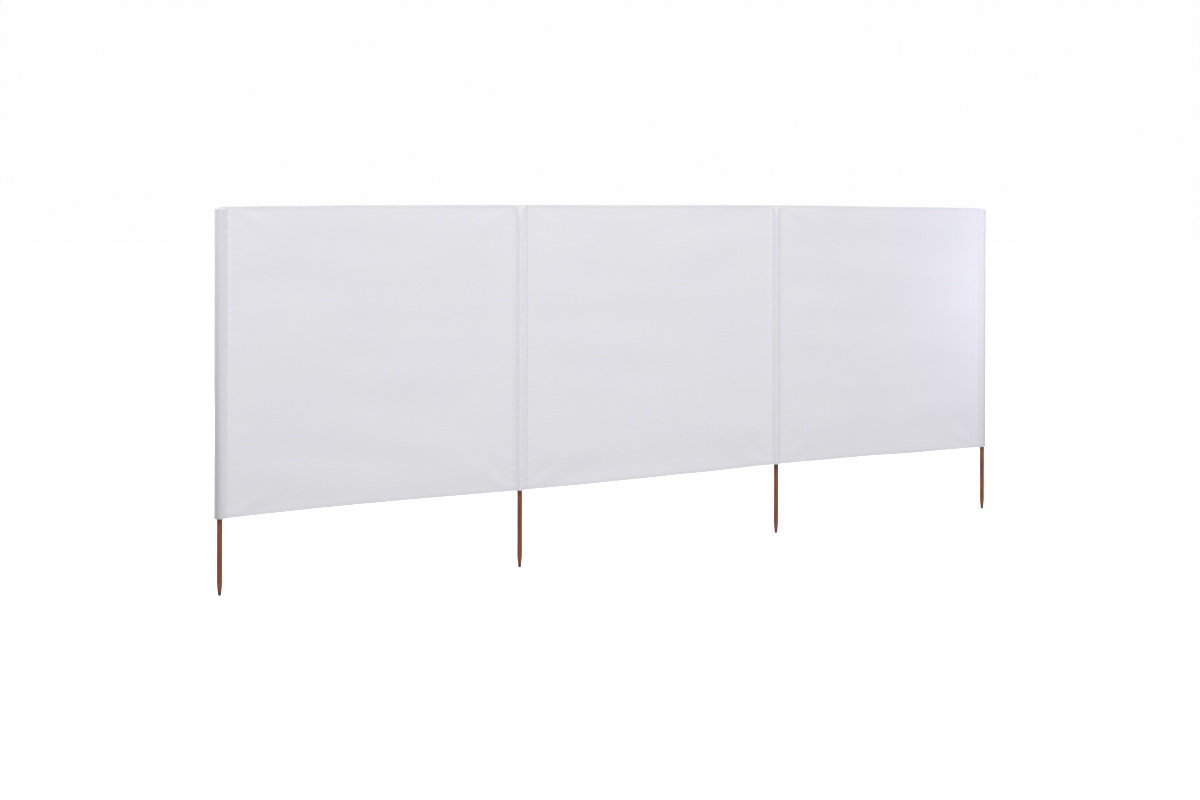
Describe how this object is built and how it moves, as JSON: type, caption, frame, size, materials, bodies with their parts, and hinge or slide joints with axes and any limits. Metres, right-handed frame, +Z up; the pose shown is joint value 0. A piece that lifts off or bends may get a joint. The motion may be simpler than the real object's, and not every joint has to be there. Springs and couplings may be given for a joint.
{
  "type": "beach windbreak",
  "caption": "Long plain white cloth screen in bays, sewn in pockets round wooden poles with tapered points for driving into sand; the end bays swing about the inner poles.",
  "frame": {"origin": "centre of the flat foot of the left inner pole", "axes": "+X along the run, to the right as seen from the front; +Y to the back; +Z up the poles"},
  "size_m": [4, 0.027, 1.605],
  "materials": {
    "wood": "red-brown stained hardwood, worn matt",
    "cloth": "matt white tent cloth"
  },
  "bodies": {
    "centre_bay": {"left_inner_pole": "wood", "right_inner_pole": "wood", "centre_cloth": "cloth", "centre_top_hem": "cloth", "centre_bottom_hem": "cloth", "left_inner_pocket": "cloth", "right_inner_pocket": "cloth", "left_inner_pocket_top": "cloth", "right_inner_pocket_top": "cloth", "centre_left_seam": "cloth", "centre_right_seam": "cloth"},
    "left_bay": {"left_pole": "wood", "left_cloth": "cloth", "left_top_hem": "cloth", "left_bottom_hem": "cloth", "left_pocket": "cloth", "left_pocket_top": "cloth", "left_outer_seam": "cloth", "left_inner_seam": "cloth"},
    "right_bay": {"right_pole": "wood", "right_cloth": "cloth", "right_top_hem": "cloth", "right_bottom_hem": "cloth", "right_pocket": "cloth", "right_pocket_top": "cloth", "right_inner_seam": "cloth", "right_outer_seam": "cloth"}
  },
  "joints": [
    {"name": "left_bay_swing", "type": "hinge", "parent": "centre_bay", "child": "left_bay", "pos_m": [0, 0, 0], "axis": [0, 0, 1], "range_deg": [-115, 115]},
    {"name": "right_bay_swing", "type": "hinge", "parent": "centre_bay", "child": "right_bay", "pos_m": [1.354, 0, 0], "axis": [0, 0, 1], "range_deg": [-115, 115]}
  ]
}
